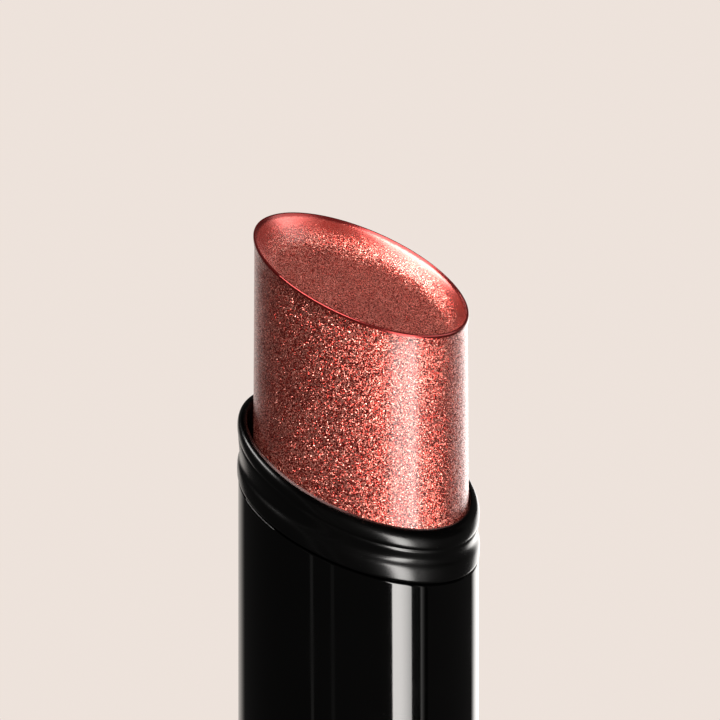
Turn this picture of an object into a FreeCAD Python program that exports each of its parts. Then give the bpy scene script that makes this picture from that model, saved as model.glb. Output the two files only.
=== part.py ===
import FreeCAD, Part
import math
import os

from FreeCAD import Vector

os.makedirs("parts", exist_ok=True)

# A slim swivel lipstick case, standing open. Millimetres, Z is the common axis, z = 0 is the foot
# of the base and the low side of the slanted mouth faces -Y. Twisting the barrel in the base drives
# the cup's two lugs along the spiral sleeve's grooves, so that the wax stick rises and sinks.

# Driving dimensions
stick_r = 6.05            # wax stick, a common 12.1 mm mould
barrel_r = 6.75           # outside of the barrel, which the cap slides over
base_r = 8.5              # outside of the base, flush with the cap
seam_slant_deg = 28.3     # slope of the barrel's end and of the collar's bead on it
mouth_slant_deg = 30.9    # slope of the collar's lip and of the stick's face
gap = 0.02                # between pieces that are pressed or glued together
running = 0.10            # between pieces that turn or slide

# The lift: how far the cup travels down and up from where it stands
lift_down = 12.0
lift_up = 11.0
lead = 16.0               # rise in one turn of the barrel
lug_r = 0.9
cup_height = 18.0         # from the lugs' axis up to the cup's rim
stick_above_cup = 29.0    # from the cup's rim to the middle of the face
heel_depth = 6.5          # length of the stick's heel inside the cup

# Walls
shell_wall = 0.35
barrel_wall = 0.25
foot_recess = 0.6
floor_z = 1.0
weight_height = 3.0
liner_floor = 0.55

# The mouth, as heights above the seam between barrel and collar, along the axis
mouth_height = 3.2        # crest of the collar's lip
stick_show = 13.5         # middle of the stick's face

# Worked out from the sizes above
bore_r = stick_r + 0.15
shell_in_r = base_r - shell_wall
barrel_in_r = barrel_r - barrel_wall
neck_r = barrel_in_r - gap
spiral_in_r = barrel_r + running
spiral_out_r = spiral_in_r + 0.70
groove_r = spiral_in_r + 0.45
lug_tip_r = groove_r - running
liner_in_r = spiral_out_r + 0.03
liner_out_r = shell_in_r - 0.15

weight_z = floor_z + gap
liner_z = weight_z + weight_height + gap
spiral_z = liner_z + liner_floor + gap
lug_low = spiral_z + 1.9
lug_z = lug_low + lift_down
lug_high = lug_z + lift_up
spiral_top = lug_high + 2.0
brake_z = spiral_top + gap
brake_top = brake_z + 0.5
flange_z = brake_top + gap
flange_top = flange_z + 0.6
ring_z = flange_top + running
shell_top = ring_z + 0.4
base_top = shell_top + 0.6

cup_rim = lug_z + cup_height
face_z = cup_rim + stick_above_cup
seam_z = face_z - stick_show


def solid_of_revolution(*path):
    """Turns a closed (r, z) outline about Z. A four-number entry is an arc: through r, z to r, z."""
    edges = []
    here = Vector(path[0][0], 0, path[0][1])
    for step in path[1:] + (path[0],):
        end = Vector(step[-2], 0, step[-1])
        if len(step) == 4:
            edges.append(Part.Arc(here, Vector(step[0], 0, step[1]), end).toShape())
        else:
            edges.append(Part.LineSegment(here, end).toShape())
        here = end
    face = Part.Face(Part.Wire(edges))
    return face.revolve(Vector(0, 0, 0), Vector(0, 0, 1), 360)


def tube(outer, inner, low, high):
    return solid_of_revolution((inner, low), (outer, low), (outer, high), (inner, high))


def slanted(shape, slant_deg):
    """Shears a shape so that its level rings rise towards +Y at the given slope."""
    matrix = FreeCAD.Matrix()
    matrix.A32 = math.tan(math.radians(slant_deg))
    return shape.transformGeometry(matrix)


def above_slant(z_at_axis, slant_deg):
    """A block that fills everything above a plane of the given slope."""
    reach = 4 * base_r
    block = Part.makeBox(2 * reach, 2 * reach, 2 * reach, Vector(-reach, -reach, 0))
    block.rotate(Vector(0, 0, 0), Vector(1, 0, 0), slant_deg)
    block.translate(Vector(0, 0, z_at_axis))
    return block


def around(shape, count):
    """Copies of a shape, evenly spaced about Z."""
    copies = []
    for index in range(count):
        turned = shape.copy()
        turned.rotate(Vector(0, 0, 0), Vector(0, 0, 1), 360 * index / count)
        copies.append(turned)
    return copies


def radial_bar(width, inner, outer, low, high):
    """A bar across the +X side, between two radii and two heights."""
    return Part.makeBox(outer - inner, width, high - low, Vector(inner, -width / 2, low))


def make_base_shell():
    corner = 0.8
    lip = 0.12
    foot_in_r = base_r - 1.5
    bend = corner * (1 - math.sqrt(0.5))
    return solid_of_revolution(
        (0, foot_recess),
        (foot_in_r - 0.3, foot_recess),
        (foot_in_r, 0),
        (base_r - corner, 0),
        (base_r - bend, bend, base_r, corner),
        (base_r, shell_top - lip),
        (base_r - lip, shell_top),
        (shell_in_r, shell_top),
        (shell_in_r, floor_z),
        (0, floor_z),
    )


def make_shade_label():
    label_r = base_r - 2.2
    thickness = 0.12
    return Part.makeCylinder(label_r, thickness, Vector(0, 0, foot_recess - gap - thickness))


def make_base_weight():
    outer = shell_in_r - 0.1
    chamfer = 0.3
    top = weight_z + weight_height
    return solid_of_revolution(
        (0, weight_z),
        (outer - chamfer, weight_z),
        (outer, weight_z + chamfer),
        (outer, top - chamfer),
        (outer - chamfer, top),
        (0, top),
    )


key_width = 1.6
key_height = 2.6
key_out_r = spiral_out_r + 0.3


def make_base_liner():
    top = ring_z - gap
    cup = solid_of_revolution(
        (0, liner_z),
        (liner_out_r, liner_z),
        (liner_out_r, top),
        (liner_in_r, top),
        (liner_in_r, spiral_z - gap),
        (0, spiral_z - gap),
    )
    rib_width = 0.7
    rib = radial_bar(rib_width, liner_out_r - 0.1, shell_in_r - gap, liner_z, top - 1.0)
    liner = cup.fuse(around(rib, 12)).removeSplitter()
    keyway = radial_bar(
        key_width + 2 * gap, liner_in_r - 0.2, key_out_r + gap, spiral_z - gap, spiral_z + key_height + gap
    )
    keyway.rotate(Vector(0, 0, 0), Vector(0, 0, 1), 15)
    return liner.cut(around(keyway, 2))


def make_groove():
    """The path cut by one lug: a band that winds up the sleeve's inside, right-handed."""
    past_end = 0.55
    low = lug_low - past_end
    high = lug_high + past_end
    half_width = 1.1
    inner = spiral_in_r - 0.3
    helix = Part.makeHelix(lead, high - low, spiral_in_r)
    corners = [
        Vector(inner, 0, -half_width),
        Vector(groove_r, 0, -half_width),
        Vector(groove_r, 0, half_width),
        Vector(inner, 0, half_width),
    ]
    section = Part.makePolygon(corners + corners[:1])
    groove = Part.Wire(helix.Edges).makePipeShell([section], True, True)
    groove.translate(Vector(0, 0, low))
    groove.rotate(Vector(0, 0, 0), Vector(0, 0, 1), 360 * (low - lug_z) / lead)
    return groove


def make_spiral_sleeve():
    sleeve = tube(spiral_out_r, spiral_in_r, spiral_z, spiral_top)
    key = radial_bar(key_width, spiral_out_r - 0.15, key_out_r, spiral_z, spiral_z + key_height)
    key.rotate(Vector(0, 0, 0), Vector(0, 0, 1), 15)
    sleeve = sleeve.fuse(around(key, 2)).removeSplitter()
    return sleeve.cut(around(make_groove(), 2))


def make_brake_ring():
    return tube(spiral_out_r - gap, spiral_in_r, brake_z, brake_top)


def make_top_ring():
    inner = neck_r + running
    seat_r = shell_in_r - gap
    lip_r = base_r - 0.15
    round_r = 0.3
    bend = round_r * (1 - math.sqrt(0.5))
    return solid_of_revolution(
        (inner, ring_z),
        (seat_r, ring_z),
        (seat_r, shell_top + gap),
        (lip_r, shell_top + gap),
        (lip_r, base_top - round_r),
        (lip_r - bend, base_top - bend, lip_r - round_r, base_top),
        (inner + 0.12, base_top),
        (inner, base_top - 0.12),
    )


def make_guide_tube():
    low = spiral_z + 0.3
    neck_top = base_top + 6.0
    body = solid_of_revolution(
        (bore_r, low),
        (barrel_r, low),
        (barrel_r, flange_z),
        (spiral_out_r - 0.05, flange_z),
        (spiral_out_r - 0.05, flange_top),
        (neck_r, flange_top),
        (neck_r, neck_top - 0.2),
        (neck_r - 0.1, neck_top),
        (bore_r, neck_top),
    )
    slot_width = 2 * (lug_r + running)
    slot = radial_bar(slot_width, bore_r - 0.5, barrel_r + 0.5, lug_low - 1.2, lug_high + 1.2)
    return body.cut(around(slot, 2))


def make_barrel_shell():
    full = tube(barrel_r, barrel_in_r, base_top + running, seam_z + 2 * barrel_r)
    return full.cut(above_slant(seam_z, seam_slant_deg))


def make_mouth_collar():
    """A bead along the barrel's end and a steeper round lip, over a skirt inside the barrel."""
    skirt_length = 5.0
    foot = 0.04
    bead_r = barrel_r + 0.05
    crease_r = barrel_r - 0.16
    waist_r = barrel_r - 0.08
    lip_r = barrel_r + 0.04
    bead = slanted(
        solid_of_revolution(
            (0, -skirt_length),
            (neck_r, -skirt_length),
            (neck_r, foot),
            (bead_r - 0.1, foot),
            (bead_r, 0.45, bead_r - 0.17, 0.93),
            (crease_r - 0.06, 1.12),
            (0, 1.12),
        ),
        seam_slant_deg,
    )
    lip = slanted(
        solid_of_revolution(
            (0, 0.5),
            (crease_r, 0.5),
            (crease_r, 1.25),
            (waist_r, 1.55),
            (waist_r, 2.35),
            (lip_r, 2.72, bore_r + 0.13, mouth_height),
            (bore_r + 0.04, mouth_height - 0.04, bore_r, mouth_height - 0.13),
            (0, mouth_height - 0.13),
        ),
        mouth_slant_deg,
    )
    collar = bead.fuse(lip)
    collar.translate(Vector(0, 0, seam_z))
    bore = Part.makeCylinder(bore_r, 4 * barrel_r, Vector(0, 0, seam_z - 2 * barrel_r))
    return collar.cut(bore).removeSplitter()


cup_r = bore_r - running
cup_in_r = cup_r - 0.5


def make_cup():
    skirt_low = lug_z - 1.5
    cup_floor = cup_rim - heel_depth
    body = solid_of_revolution(
        (cup_in_r - 0.15, skirt_low),
        (cup_r, skirt_low),
        (cup_r, cup_rim - 0.1),
        (cup_r - 0.1, cup_rim),
        (cup_in_r, cup_rim),
        (cup_in_r, cup_floor),
        (0, cup_floor),
        (0, cup_floor - 0.8),
        (cup_in_r - 0.15, cup_floor - 0.8),
    )
    root = cup_r - 0.3
    lug = Part.makeCylinder(lug_r, lug_tip_r - root, Vector(root, 0, lug_z), Vector(1, 0, 0))
    return body.fuse(around(lug, 2)).removeSplitter()


def make_stick():
    """The wax stick: a heel in the cup, a straight body and a slanted, hollowed face."""
    heel_r = cup_in_r - gap
    heel_low = cup_rim - heel_depth + gap
    draft_start = seam_z
    draft = 0.06
    tall = face_z + stick_r
    body = solid_of_revolution(
        (0, heel_low),
        (heel_r - 0.3, heel_low),
        (heel_r, heel_low + 0.3),
        (heel_r, cup_rim + gap),
        (stick_r, cup_rim + gap),
        (stick_r, draft_start),
        (stick_r - draft, tall),
        (0, tall),
    )
    rim_r = stick_r - draft - 0.17
    wall_r = rim_r - 0.45
    dish = slanted(
        solid_of_revolution(
            (0, -1.5),
            (wall_r * 0.55, -1.3, wall_r, -0.8),
            (rim_r, 0),
            (rim_r, 1.5),
            (0, 1.5),
        ),
        mouth_slant_deg,
    )
    dish.translate(Vector(0, 0, face_z))
    return body.cut(above_slant(face_z, mouth_slant_deg)).cut(dish)


nodes = {
    "base_shell": make_base_shell,
    "shade_label": make_shade_label,
    "base_weight": make_base_weight,
    "base_liner": make_base_liner,
    "spiral_sleeve": make_spiral_sleeve,
    "brake_ring": make_brake_ring,
    "top_ring": make_top_ring,
    "guide_tube": make_guide_tube,
    "barrel_shell": make_barrel_shell,
    "mouth_collar": make_mouth_collar,
    "cup": make_cup,
    "lipstick_bullet": make_stick,
}

for name, make in nodes.items():
    shape = make()
    box = shape.BoundBox
    print(f"{name:16} valid {shape.isValid()}  solids {len(shape.Solids)}  volume {shape.Volume:9.2f} mm3"
          f"  z {box.ZMin:6.2f} to {box.ZMax:6.2f}  r {max(box.XMax, box.YMax):5.2f}")
    shape.exportStep(f"parts/{name}.step")

print(f"seam {seam_z:.2f}, face {face_z:.2f}, base top {base_top:.2f}, lugs {lug_z:.2f}, cup rim {cup_rim:.2f}")
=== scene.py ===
import math

import bmesh
import bpy
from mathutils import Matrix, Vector
from mathutils.geometry import interpolate_bezier


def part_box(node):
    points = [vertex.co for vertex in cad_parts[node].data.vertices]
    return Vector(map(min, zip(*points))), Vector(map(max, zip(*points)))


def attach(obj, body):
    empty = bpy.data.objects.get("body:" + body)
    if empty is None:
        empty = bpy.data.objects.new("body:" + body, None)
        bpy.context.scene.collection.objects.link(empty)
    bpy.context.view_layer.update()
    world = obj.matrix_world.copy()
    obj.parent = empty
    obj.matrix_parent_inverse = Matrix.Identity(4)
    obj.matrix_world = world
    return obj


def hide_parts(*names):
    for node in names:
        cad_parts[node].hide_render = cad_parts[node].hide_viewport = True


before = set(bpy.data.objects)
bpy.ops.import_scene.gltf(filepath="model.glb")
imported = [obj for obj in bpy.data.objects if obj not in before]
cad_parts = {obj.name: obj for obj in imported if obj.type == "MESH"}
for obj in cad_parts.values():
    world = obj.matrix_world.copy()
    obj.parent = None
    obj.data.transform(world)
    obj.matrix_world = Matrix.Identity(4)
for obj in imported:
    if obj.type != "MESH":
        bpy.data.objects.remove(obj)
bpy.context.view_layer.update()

mm = 0.001
hair = 0.0002 * mm  # points nearer than this are one point
seamSlope = math.tan(math.radians(28.3))  # the barrel's end and the collar's bead
faceSlope = math.tan(math.radians(30.9))  # the collar's lip and the stick's face

# where the case's pieces are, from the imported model
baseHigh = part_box("base_shell")[1]
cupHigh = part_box("cup")[1]
ringLow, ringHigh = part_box("top_ring")
barrelLow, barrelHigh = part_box("barrel_shell")
stickLow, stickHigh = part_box("lipstick_bullet")
barrelR = barrelHigh.x
stickR = stickHigh.x
seamZ = barrelHigh.z - seamSlope * barrelR  # middle of the seam between barrel and collar
faceZ = stickHigh.z - faceSlope * (stickR - 0.06 * mm)  # middle of the stick's face
print("frame loaded, seam at", round(seamZ / mm, 2), "mm and face at", round(faceZ / mm, 2), "mm")


def curve(start, startHandle, endHandle, end, count):
    # points of a Bezier stretch, without its first one, which the stretch before it has
    flat = [Vector((r, 0, z)) for r, z in (start, startHandle, endHandle, end)]
    return [(p.x, p.z) for p in interpolate_bezier(*flat, count + 1)[1:]]


def corner(before, point, after, radius, count=5):
    # a rounded corner of an outline: it leaves the straight run, turns and joins the next one
    here = Vector((point[0], point[1]))
    start = here + (Vector(before) - here).normalized() * radius
    end = here + (Vector(after) - here).normalized() * radius
    middle = [start.lerp(here, 0.55), end.lerp(here, 0.55)]
    return [tuple(start)] + curve(tuple(start), tuple(middle[0]), tuple(middle[1]), tuple(end), count)


sharpAngle = math.radians(32)  # edges sharper than this stay crisp


def crisp(bm):
    # smooth shading that stops at the corners of the outline
    for face in bm.faces:
        face.smooth = True
    for edge in bm.edges:
        edge.smooth = edge.calc_face_angle(0.0) < sharpAngle


def turned(name, outline, steps, closed, slope=0.0, lift=0.0):
    # an outline in mm in the XZ plane, turned about Z, then leant to rise towards +Y
    # slope is a number, or a function that gives it at a height in mm; lift is in metres
    bm = bmesh.new()
    verts = [bm.verts.new((r * mm, 0, z * mm)) for r, z in outline]
    pairs = list(zip(verts, verts[1:])) + ([(verts[-1], verts[0])] if closed else [])
    edges = [bm.edges.new(pair) for pair in pairs]
    bmesh.ops.spin(bm, geom=verts + edges, cent=(0, 0, 0), axis=(0, 0, 1), dvec=(0, 0, 0),
                   angle=2 * math.pi, steps=steps, use_merge=True, use_duplicate=False)
    bmesh.ops.remove_doubles(bm, verts=bm.verts, dist=hair)
    bmesh.ops.dissolve_degenerate(bm, edges=bm.edges, dist=hair)
    bmesh.ops.recalc_face_normals(bm, faces=bm.faces)
    for vert in bm.verts:
        rise = slope(vert.co.z / mm) if callable(slope) else slope
        vert.co.z += rise * vert.co.y + lift
    crisp(bm)
    mesh = bpy.data.meshes.new(name)
    bm.to_mesh(mesh)
    bm.free()
    piece = bpy.data.objects.new(name, mesh)
    bpy.context.scene.collection.objects.link(piece)
    return piece


class Value:
    # wraps a socket, so that sums and products of values add their own Math nodes
    def __init__(self, finish, socket):
        self.finish = finish
        self.socket = socket

    def maths(self, operation, other, flipped=False):
        first, second = (other, self) if flipped else (self, other)
        return self.finish.node("ShaderNodeMath", {"operation": operation}, {0: first, 1: second})

    def __add__(self, other):
        return self.maths("ADD", other)

    def __radd__(self, other):
        return self.maths("ADD", other, True)

    def __sub__(self, other):
        return self.maths("SUBTRACT", other)

    def __rsub__(self, other):
        return self.maths("SUBTRACT", other, True)

    def __mul__(self, other):
        return self.maths("MULTIPLY", other)

    def __rmul__(self, other):
        return self.maths("MULTIPLY", other, True)

    def __pow__(self, other):
        return self.maths("POWER", other)


class Finish:
    # one node material or world and its nodes
    def __init__(self, owner):
        self.owner = owner
        owner.use_nodes = True
        self.tree = owner.node_tree
        self.tree.nodes.clear()

    def node(self, kind, settings=None, inputs=None, output=0):
        made = self.tree.nodes.new(kind)
        for name, value in (settings or {}).items():
            if name == "stops":
                elements = made.color_ramp.elements
                while len(elements) < len(value):
                    elements.new(0.5)
                for element, (position, colour) in zip(elements, value):
                    element.position = position
                    element.color = colour
            else:
                setattr(made, name, value)
        for key, value in (inputs or {}).items():
            if isinstance(value, Value):
                self.tree.links.new(value.socket, made.inputs[key])
            else:
                made.inputs[key].default_value = value
        return Value(self, made.outputs[output]) if made.outputs else None

    def place(self, output="Object"):
        return self.node("ShaderNodeTexCoord", output=output)

    def axis(self, vector, letter):
        return self.node("ShaderNodeSeparateXYZ", inputs={0: vector}, output=letter)

    def vector(self, operation, first, second, output=0):
        inputs = {0: first, 1: second}
        return self.node("ShaderNodeVectorMath", {"operation": operation}, inputs, output)

    def scaled(self, vector, amount):
        return self.node("ShaderNodeVectorMath", {"operation": "SCALE"}, {0: vector, "Scale": amount})

    def step(self, value, low, high):
        # 0 below low, 1 above high, smooth between
        settings = {"interpolation_type": "SMOOTHSTEP", "clamp": True}
        inputs = {"Value": value, "From Min": low, "From Max": high}
        return self.node("ShaderNodeMapRange", settings, inputs)

    def blend(self, first, second, amount):
        return self.node("ShaderNodeMix", {"data_type": "RGBA"}, {0: amount, 6: first, 7: second}, 2)

    def noise(self, vector, scale, detail=3.0, roughness=0.55):
        inputs = {"Vector": vector, "Scale": scale, "Detail": detail, "Roughness": roughness}
        return self.node("ShaderNodeTexNoise", inputs=inputs)

    def cells(self, vector, scale, output):
        inputs = {"Vector": vector, "Scale": scale}
        return self.node("ShaderNodeTexVoronoi", inputs=inputs, output=output)

    def bump(self, height, strength, distance):
        inputs = {"Height": height, "Strength": strength, "Distance": distance}
        return self.node("ShaderNodeBump", inputs=inputs)

    def surface(self, inputs):
        shader = self.node("ShaderNodeBsdfPrincipled", inputs=inputs)
        self.node("ShaderNodeOutputMaterial", inputs={"Surface": shader})
        return self.owner


def newFinish(name):
    return Finish(bpy.data.materials.new(name))


def grey(level, warm=0.0):
    return (level * (1 + warm), level, level * (1 - warm), 1)


# peel is how strong the faint waviness of the surface is, spread how much duller its dull patches are
lacquerLook = {"colour": grey(0.0007), "roughness": 0.045, "spread": 0.05, "peel": 0.05}
collarLook = {"colour": grey(0.0007), "roughness": 0.19, "spread": 0.05, "peel": 0.06}
dustColour = grey(0.004, 0.05)


def makeLacquer(name, look):
    # deep gloss black with soft cloudiness, fine wiping marks round it and a few specks of dust
    finish = newFinish(name)
    place = finish.place()
    cloud = finish.noise(place, 260, 3)
    wiped = finish.vector("MULTIPLY", place, (1, 1, 14))
    marks = finish.noise(wiped, 900, 2)
    dust = finish.step(finish.cells(place, 2600, "Distance"), 0.06, 0.02)
    dull = look["spread"] * finish.step(cloud, 0.42, 0.75) + 0.03 * marks + 0.15 * dust
    colour = finish.blend(look["colour"], dustColour, dust * 0.5 + cloud * 0.15)
    normal = finish.bump(cloud + 0.12 * marks, look["peel"], 0.01 * mm)
    return finish.surface({"Base Color": colour, "Roughness": look["roughness"] + dull,
                           "Normal": normal, "IOR": 1.5})


def makeMoulded(name, colour, shade, roughness, grain):
    # moulded plastic: a fine spark-eroded grain, faint flow marks and a little gloss variation
    finish = newFinish(name)
    place = finish.place()
    fine = finish.noise(place, grain, 4, 0.6)
    flow = finish.noise(finish.vector("MULTIPLY", place, (1, 1, 0.25)), 420, 3)
    tone = finish.blend(colour, shade, finish.step(flow, 0.35, 0.75))
    gloss = roughness + 0.18 * (fine - 0.5)
    return finish.surface({"Base Color": tone, "Roughness": gloss,
                           "Normal": finish.bump(fine, 0.25, 0.02 * mm)})


def makePlatedSteel(name):
    # zinc plate: a faint spangle over the rings that turning leaves
    finish = newFinish(name)
    place = finish.place()
    spangle = finish.axis(finish.cells(place, 900, "Color"), "X")
    rings = finish.noise(finish.vector("MULTIPLY", place, (1, 1, 30)), 700, 2)
    tone = finish.blend((0.55, 0.54, 0.51, 1), (0.74, 0.74, 0.76, 1), spangle)
    rough = 0.24 + 0.16 * rings + 0.08 * spangle
    return finish.surface({"Base Color": tone, "Metallic": 1.0, "Roughness": rough,
                           "Normal": finish.bump(rings, 0.2, 0.02 * mm)})


def makeLabelPaper(name):
    # satin paper with its fibres lying one way
    finish = newFinish(name)
    place = finish.place()
    fibre = finish.noise(finish.vector("MULTIPLY", place, (3, 1, 1)), 2600, 4, 0.65)
    tone = finish.blend((0.86, 0.84, 0.80, 1), (0.70, 0.67, 0.62, 1), finish.step(fibre, 0.45, 0.8) * 0.6)
    return finish.surface({"Base Color": tone, "Roughness": 0.55 + 0.2 * fibre,
                           "Normal": finish.bump(fibre, 0.3, 0.02 * mm)})


blackLacquer = makeLacquer("blackLacquer", lacquerLook)
blackPlastic = makeLacquer("glossBlackPlastic", collarLook)
whiteMoulded = makeMoulded("whiteAcetal", (0.80, 0.79, 0.75, 1), (0.72, 0.70, 0.65, 1), 0.42, 3000)
greyMoulded = makeMoulded("greyPlastic", (0.16, 0.16, 0.17, 1), (0.12, 0.12, 0.13, 1), 0.5, 2600)
cupMoulded = makeMoulded("cupPlastic", (0.030, 0.030, 0.032, 1), (0.018, 0.018, 0.020, 1), 0.45, 2600)
siliconeRubber = makeMoulded("silicone", (0.46, 0.46, 0.48, 1), (0.38, 0.38, 0.40, 1), 0.62, 5000)
platedSteel = makePlatedSteel("platedSteel")
labelPaper = makeLabelPaper("labelPaper")
print("finishes made")


stick = {
    "bodyR": 6.05,       # straight part, down in the bore
    "topR": 5.99,        # just under the flare
    "flareHeight": 0.9,
    "rimR": 6.05,        # flared rim of the face
    "lipR": 5.90,        # inner edge of the rim, where the dish starts
    "wallWidth": 0.95,   # the dish's smooth, sloping wall
    "wallDepth": 1.02,
    "dishDepth": 1.42,
    "heelInset": 1.65,   # from the tips of the cup's lugs in to the heel
    "aside": (0.111, -0.085),  # the wax never sits quite centred in its cup
    "steps": 192,
}

waxLook = {
    "deep": (0.035, 0.001, 0.001, 1),
    "mid": (0.42, 0.027, 0.016, 1),
    "pale": (1.00, 0.48, 0.38, 1),
    # painted shade: the dark red painted on the rim's top, standing for the dark that the rim reflects
    "rim": (0.11, 0.006, 0.005, 1),
    "fewPale": 1.9,      # the higher, the fewer flakes are pale
    "cell": 0.040,       # size of a flake of glitter, mm
    "tilt": 0.80,        # how far the flakes lean
    "metallic": 0.84,
    "roughness": 0.24,
    "smoothBand": 1.05,  # depth of the glitter-free wall below the rim, mm
    "ragged": 0.25,      # how far that band's edges wander, mm
}


def makeWax(name, look):
    # red wax full of leaning metallic flakes, with a smooth rim and a smooth wall inside the dish; the
    # rim's top is painted dark red, as painted shade standing for the dark that it reflects
    finish = newFinish(name)
    place = finish.place()
    x = finish.axis(place, "X") - stick["aside"][0] * mm
    y = finish.axis(place, "Y") - stick["aside"][1] * mm
    height = finish.axis(place, "Z") - faceSlope * y - faceZ  # above the face's own plane
    radius = (x * x + y * y) ** 0.5
    wander = (finish.noise(place, 4000, 2) - 0.5) * (look["ragged"] * mm)
    lipEdge = stick["lipR"] * mm
    inside = finish.step(radius + wander, lipEdge, lipEdge - 0.06 * mm)
    inDish = finish.step(height, -3.0 * mm, -2.5 * mm) * inside
    wall = inDish * finish.step(height + wander * 2, -look["smoothBand"] * mm, -0.20 * mm)
    # the band round the rim's top where the dark red painted shade goes
    lip = finish.step(height, -0.20 * mm, -0.09 * mm)
    smooth = finish.node("ShaderNodeMath", {"operation": "MAXIMUM"}, {0: wall, 1: lip})
    glitter = 1 - smooth
    density = 1 / (look["cell"] * mm)
    flake = finish.cells(place, density, "Color")
    lean = finish.vector("SUBTRACT", flake, (0.5, 0.5, 0.5))
    lean = finish.scaled(lean, glitter * look["tilt"])
    facing = finish.node("ShaderNodeNewGeometry", output="Normal")
    leant = finish.vector("ADD", facing, lean)
    normal = finish.node("ShaderNodeVectorMath", {"operation": "NORMALIZE"}, {0: leant})
    chance = finish.axis(finish.cells(place, 1.31 * density, "Color"), "X")
    stops = [(0.0, look["deep"]), (0.55, look["mid"]), (1.0, look["pale"])]
    flakes = finish.node("ShaderNodeValToRGB", {"stops": stops}, {"Fac": chance ** look["fewPale"]})
    cloud = finish.step(finish.noise(place, 500, 3), 0.4, 0.8)
    colour = finish.blend(flakes, look["mid"], smooth * 0.85)
    colour = finish.blend(colour, look["deep"], cloud * 0.25)
    # painted shade: the rim's top is painted the dark red
    colour = finish.blend(colour, look["rim"], lip)
    return finish.surface({"Base Color": colour, "Metallic": look["metallic"], "Normal": normal,
                           "Roughness": look["roughness"] + 0.12 * (chance - 0.5) * glitter,
                           "Coat Weight": (0.5 + wall * 0.5) * (1 - lip * 0.8),
                           "Coat Roughness": 0.25, "Coat IOR": 1.5})


def makeStickTop():
    # the slanted end, in heights measured from the face's own plane
    low = (seamZ - faceZ) / mm + 1.0
    topR = stick["topR"]
    rimR = stick["rimR"]
    lipR = stick["lipR"]
    footR = lipR - stick["wallWidth"]
    footZ = -stick["wallDepth"]
    depth = -stick["dishDepth"]
    top = [(stick["bodyR"], low), (topR, -stick["flareHeight"])]
    flare = curve(top[-1], (topR, -0.45), (rimR - 0.02, -0.35), (rimR, -0.10), 6)
    rim = curve(flare[-1], (rimR + 0.005, 0.0), (rimR - 0.03, 0.03), (lipR + 0.07, 0.02), 4)
    lip = curve(rim[-1], (lipR + 0.03, 0.02), (lipR + 0.01, -0.02), (lipR, -0.08), 3)
    wall = curve(lip[-1], (lipR - 0.10, -0.24), (footR + 0.35, footZ + 0.34), (footR, footZ), 8)
    bend = curve(wall[-1], (footR - 0.20, footZ - 0.18), (footR - 0.55, footZ - 0.27),
                 (footR - 1.1, footZ - 0.30), 8)
    floor = curve(bend[-1], (footR - 2.2, footZ - 0.34), (1.2, depth), (0, depth), 10)
    return top + flare + rim + lip + wall + bend + floor


def openEdges(bm):
    return [edge for edge in bm.edges if edge.is_boundary]


def makeStick():
    # the slanted end, extruded down to the cup's rim, then the heel that stands in the cup
    top = turned("waxStickTop", makeStickTop(), stick["steps"], False, faceSlope, faceZ)
    bm = bmesh.new()
    bm.from_mesh(top.data)
    shoulder = cupHigh.z + 0.02 * mm
    bodyR = stick["bodyR"] * mm
    heelR = cupHigh.x - stick["heelInset"] * mm
    for radius, height in ((bodyR, shoulder), (heelR, shoulder), (heelR, stickLow.z)):
        grown = bmesh.ops.extrude_edge_only(bm, edges=openEdges(bm))["geom"]
        for vert in (part for part in grown if isinstance(part, bmesh.types.BMVert)):
            flat = Vector((vert.co.x, vert.co.y, 0)).normalized() * radius
            vert.co = (flat.x, flat.y, height)
    bmesh.ops.holes_fill(bm, edges=openEdges(bm), sides=0)
    aboveHeel = [v for v in bm.verts if v.co.xy.length > heelR + 0.05 * mm or v.co.z > seamZ]
    asideX, asideY = stick["aside"]
    bmesh.ops.translate(bm, verts=aboveHeel, vec=(asideX * mm, asideY * mm, 0))
    bmesh.ops.recalc_face_normals(bm, faces=bm.faces)
    crisp(bm)
    bm.to_mesh(top.data)
    bm.free()
    top.name = "waxStick"
    top.data.materials.append(makeWax("glitterWax", waxLook))
    return top


waxStick = makeStick()
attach(waxStick, "carrier")
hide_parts("lipstick_bullet")
print("wax stick made,", len(waxStick.data.polygons), "faces")


collar = {
    "boreR": 6.24,
    "skirtR": 6.48,      # skirt inside the barrel
    "skirtLength": 5.0,
    "toe": 0.07,         # the fine seam between barrel and bead
    "beadR": 6.81,       # bead on the barrel's end
    "creaseR": 6.67,
    "waistR": 6.75,
    "waistTop": 2.24,
    "lipR": 6.80,
    "crest": 3.20,       # height of the lip above the seam, along the axis
    "slantFrom": 1.15,   # between these heights the bead's slant turns into the lip's
    "slantTo": 2.45,
    "steps": 192,
}


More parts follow.
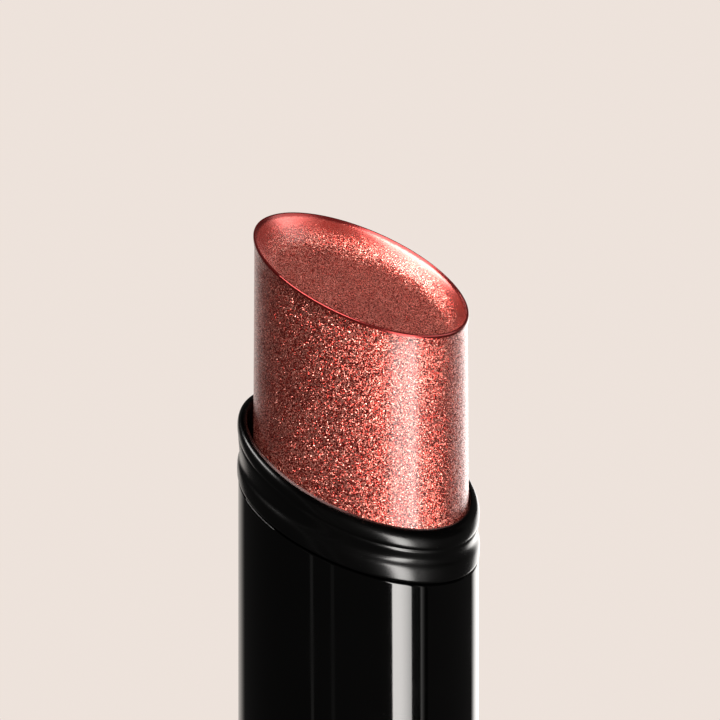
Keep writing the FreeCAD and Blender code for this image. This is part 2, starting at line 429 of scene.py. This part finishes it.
def makeCollar():
    boreR = collar["boreR"]
    skirtR = collar["skirtR"]
    beadR = collar["beadR"]
    creaseR = collar["creaseR"]
    waistR = collar["waistR"]
    waistTop = collar["waistTop"]
    lipR = collar["lipR"]
    crest = collar["crest"]
    toe = collar["toe"]
    skirt = [(boreR, -collar["skirtLength"]), (skirtR, -collar["skirtLength"]), (skirtR, toe + 0.01)]
    foot = curve(skirt[-1], (beadR - 0.12, toe), (beadR - 0.03, toe), (beadR - 0.005, 0.20), 5)
    bead = curve(foot[-1], (beadR + 0.01, 0.40), (beadR + 0.01, 0.65), (beadR - 0.02, 0.85), 8)
    crease = curve(bead[-1], (beadR - 0.06, 1.05), (creaseR, 1.10), (creaseR, 1.30), 8)
    waist = curve(crease[-1], (creaseR, 1.42), (waistR - 0.03, 1.75), (waistR, 2.05), 8)
    waist += curve(waist[-1], (waistR + 0.005, 2.10), (waistR + 0.005, 2.18),
                   (waistR - 0.015, waistTop), 3)
    under = curve(waist[-1], (waistR - 0.02, 2.31), (lipR, 2.34), (lipR, 2.60), 8)
    lip = curve(under[-1], (lipR, 2.98), (6.62, crest), (6.36, crest), 14)
    inner = curve(lip[-1], (6.28, crest), (boreR, crest - 0.05), (boreR, crest - 0.18), 6)
    return skirt + foot + bead + crease + waist + under + lip + inner


def collarSlope(height):
    # the bead follows the barrel's end, the lip follows the stick's face
    share = (height - collar["slantFrom"]) / (collar["slantTo"] - collar["slantFrom"])
    share = min(max(share, 0.0), 1.0)
    return seamSlope + (faceSlope - seamSlope) * share * share * (3 - 2 * share)


mouthCollar = turned("mouthCollar", makeCollar(), collar["steps"], True, collarSlope, seamZ)
mouthCollar.data.materials.append(blackPlastic)
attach(mouthCollar, "barrel")
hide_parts("mouth_collar")
print("mouth collar made,", len(mouthCollar.data.polygons), "faces")


barrel = {"wall": 0.25, "edge": 0.06, "length": 2.0, "steps": 192}  # length of the tube as turned


def makeBarrel():
    # a straight tube: its foot is level, its upper edge follows the slant with a small rounded edge
    outer = barrelR / mm
    inner = outer - barrel["wall"]
    edge = barrel["edge"]
    low = -barrel["length"]
    outline = [(inner, low), (outer, low), (outer, -edge * 1.5)]
    outline += curve(outline[-1], (outer, -edge * 0.5), (outer - edge * 0.4, 0), (outer - edge * 1.2, 0), 5)
    outline += [(inner, 0)]
    tube = turned("barrelTube", outline, barrel["steps"], True, seamSlope, seamZ)
    bm = bmesh.new()
    bm.from_mesh(tube.data)
    # the slanted foot of that short length is dropped to the barrel's level foot
    for vert in bm.verts:
        aboveSeam = vert.co.z - seamZ - seamSlope * vert.co.y
        if aboveSeam < (low + 0.1) * mm:
            vert.co.z = barrelLow.z
    crisp(bm)
    bm.to_mesh(tube.data)
    bm.free()
    tube.data.materials.append(blackLacquer)
    return tube


barrelTube = makeBarrel()
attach(barrelTube, "barrel")
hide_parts("barrel_shell")
print("barrel made")


base = {
    "wall": 0.35,
    "cornerR": 0.8,     # round the foot
    "lipR": 0.12,       # round the top edge and the foot ring
    "recess": 0.6,      # for the label, under the foot
    "recessInset": 0.3,
    "floor": 1.0,
    "footWidth": 1.5,
    "steps": 192,
}


def makeBase():
    outer = baseHigh.x / mm
    inner = outer - base["wall"]
    top = baseHigh.z / mm
    foot = (outer - base["footWidth"], 0)
    roof = (foot[0] - base["recessInset"], base["recess"])
    outline = [(0, base["recess"])]
    outline += corner(outline[0], roof, foot, base["lipR"])
    outline += corner(roof, foot, (outer, 0), base["lipR"])
    outline += corner(foot, (outer, 0), (outer, top), base["cornerR"], 10)
    outline += corner((outer, 0), (outer, top), (inner, top), base["lipR"])
    outline += [(inner, top), (inner, base["floor"]), (0, base["floor"])]
    return outline


baseShell = turned("baseShell", makeBase(), base["steps"], False)
baseShell.data.materials.append(blackLacquer)
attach(baseShell, "base")
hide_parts("base_shell")


topRingSize = {"boreR": 6.58, "fit": 0.02, "footR": 0.06, "shoulderR": 0.26, "boreEdgeR": 0.12}


def makeTopRing():
    # a sleeve inside the shell with a flat collar on top, which overhangs the shell's edge
    low = ringLow.z / mm
    top = ringHigh.z / mm
    rimR = ringHigh.x / mm
    fit = topRingSize["fit"]
    bore = topRingSize["boreR"]
    sleeveR = baseHigh.x / mm - base["wall"] - fit
    seat = baseHigh.z / mm + fit
    outline = [(bore, low), (sleeveR, low), (sleeveR, seat)]
    outline += corner((sleeveR, seat), (rimR, seat), (rimR, top), topRingSize["footR"])
    outline += corner((rimR, seat), (rimR, top), (bore, top), topRingSize["shoulderR"], 8)
    outline += corner((rimR, top), (bore, top), (bore, low), topRingSize["boreEdgeR"])
    return outline


topRing = turned("topRing", makeTopRing(), base["steps"], True)
topRing.data.materials.append(blackPlastic)
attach(topRing, "base")
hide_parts("top_ring")
print("base made")


innerFinishes = {
    "base_liner": greyMoulded,
    "base_weight": platedSteel,
    "brake_ring": siliconeRubber,
    "cup": cupMoulded,
    "guide_tube": whiteMoulded,
    "shade_label": labelPaper,
    "spiral_sleeve": whiteMoulded,
}
for node, finish in innerFinishes.items():
    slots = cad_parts[node].data.materials
    slots.clear()
    slots.append(finish)
print("inner pieces finished")


# degrees and mm; height and aside place the point that the camera looks at
view = {"azimuth": -37.5, "distance": 156.0, "lens": 139.0, "height": 60.59, "aside": 0.08}


def makeCamera():
    turn = math.radians(view["azimuth"])
    away = Vector((math.sin(turn), -math.cos(turn), 0))
    right = Vector((math.cos(turn), math.sin(turn), 0))
    target = Vector((0, 0, view["height"] * mm)) + right * view["aside"] * mm
    data = bpy.data.cameras.new("camera")
    data.lens = view["lens"]
    data.sensor_width = 36
    data.clip_start = 0.005
    data.clip_end = 20
    camera = bpy.data.objects.new("camera", data)
    camera.location = target + away * view["distance"] * mm
    camera.rotation_euler = (-away).to_track_quat("-Z", "Y").to_euler()
    bpy.context.scene.collection.objects.link(camera)
    bpy.context.scene.camera = camera
    return away, right


toCamera, toRight = makeCamera()


studio = {
    "aimHeight": 0.055,  # the panels face this height on the case
    "lamp": (1, 0.97, 0.94, 1),
    "ground": (0.85, 0.765, 0.71, 1),  # behind the case, as the camera sees it
    "dimAround": (0.045, 0.043, 0.042, 1),
    "paleBehind": (0.80, 0.74, 0.69, 1),
}

floorLook = {"radius": 0.6, "fadeFrom": 0.16, "fadeTo": 0.29,
             "dark": (0.80, 0.71, 0.64, 1), "pale": (0.86, 0.79, 0.73, 1)}


def makeFloor():
    # a pale disc that fades out into the background
    bm = bmesh.new()
    bmesh.ops.create_circle(bm, cap_ends=True, segments=96, radius=floorLook["radius"])
    mesh = bpy.data.meshes.new("floor")
    bm.to_mesh(mesh)
    bm.free()
    floor = bpy.data.objects.new("floor", mesh)
    bpy.context.scene.collection.objects.link(floor)
    finish = newFinish("paleFloor")
    place = finish.place()
    reach = finish.vector("LENGTH", place, (0, 0, 0), output="Value")
    tone = finish.blend(floorLook["dark"], floorLook["pale"], finish.noise(place, 6, 2))
    shown = finish.step(reach, floorLook["fadeTo"], floorLook["fadeFrom"])
    floor.data.materials.append(finish.surface({"Base Color": tone, "Roughness": 0.55, "Alpha": shown}))
    floor.visible_glossy = False
    floor.visible_diffuse = False
    return floor


def makePanel(name, aside, up, distance, size, strength, soft=None, only=None):
    # a soft light: aside is its angle to the right of the camera, seen from the case
    # soft is where the light fades across the panel, only the pieces that it lights
    angle = math.radians(aside)
    rise = math.radians(up)
    flat = toCamera * math.cos(angle) + toRight * math.sin(angle)
    towards = flat * math.cos(rise) + Vector((0, 0, math.sin(rise)))
    bm = bmesh.new()
    bmesh.ops.create_grid(bm, x_segments=1, y_segments=1, size=0.5)
    bmesh.ops.scale(bm, vec=(*size, 1), verts=bm.verts)
    mesh = bpy.data.meshes.new(name)
    bm.to_mesh(mesh)
    bm.free()
    panel = bpy.data.objects.new(name, mesh)
    panel.location = Vector((0, 0, studio["aimHeight"])) + towards * distance
    panel.rotation_euler = towards.to_track_quat("Z", "Y").to_euler()
    bpy.context.scene.collection.objects.link(panel)
    finish = newFinish(name)
    level = strength
    if soft is not None:
        across = finish.axis(finish.place(), "X") * (1 / size[0]) + 0.5
        level = finish.step(across, *soft) * strength
    glow = finish.node("ShaderNodeEmission", inputs={"Color": studio["lamp"], "Strength": level})
    finish.node("ShaderNodeOutputMaterial", inputs={"Surface": glow})
    panel.data.materials.append(finish.owner)
    panel.visible_camera = False
    panel.visible_shadow = False
    if only is not None:
        receivers = bpy.data.collections.new(name + "Receivers")
        for receiver in only:
            receivers.objects.link(receiver)
        panel.light_linking.receiver_collection = receivers


def makeWorld():
    # pale to the eye, dim in front of the case and pale behind it for reflections
    world = bpy.data.worlds.new("studio")
    bpy.context.scene.world = world
    finish = Finish(world)
    direction = finish.place("Generated")
    behind = finish.vector("DOT_PRODUCT", direction, tuple(-toCamera), output="Value")
    low = finish.step(finish.axis(direction, "Z"), 0.28, 0.08)
    pale = finish.step(behind, 0.72, 0.92) * low
    seen = finish.node("ShaderNodeLightPath", output="Is Camera Ray")
    around = finish.blend(studio["dimAround"], studio["paleBehind"], pale)
    colour = finish.blend(around, studio["ground"], seen)
    glow = finish.node("ShaderNodeBackground", inputs={"Color": colour, "Strength": 1.0})
    finish.node("ShaderNodeOutputWorld", inputs={"Surface": glow})


paleFloor = makeFloor()
makeWorld()
makePanel("keyPanel", 50.5, 4.4, 0.55, (0.36, 0.36), 16, soft=(0.93, 0.133))
makePanel("rimPanel", 150, -2, 0.60, (0.36, 0.30), 3.4, soft=(0.0, 0.42))
makePanel("sidePanel", -92, 43, 0.55, (0.36, 0.13), 9, only=[mouthCollar, barrelTube])
makePanel("overPanel", -34, 60, 0.55, (0.66, 0.31), 25, only=[waxStick])
makePanel("glowPanel", 95, 34, 0.55, (0.40, 0.30), 4, only=[waxStick])
makePanel("shinePanel", 56, 4.4, 0.54, (0.09, 0.40), 26, only=[waxStick])
makePanel("floorPanel", 0, 88, 1.2, (2.4, 2.4), 1.5, only=[paleFloor])
makePanel("slimPanelA", -42.6, 0, 0.55, (0.026, 0.60), 0.22)
makePanel("slimPanelB", -22.6, 0, 0.55, (0.030, 0.60), 0.12)
bpy.context.scene.view_settings.view_transform = "Standard"
print("studio made")
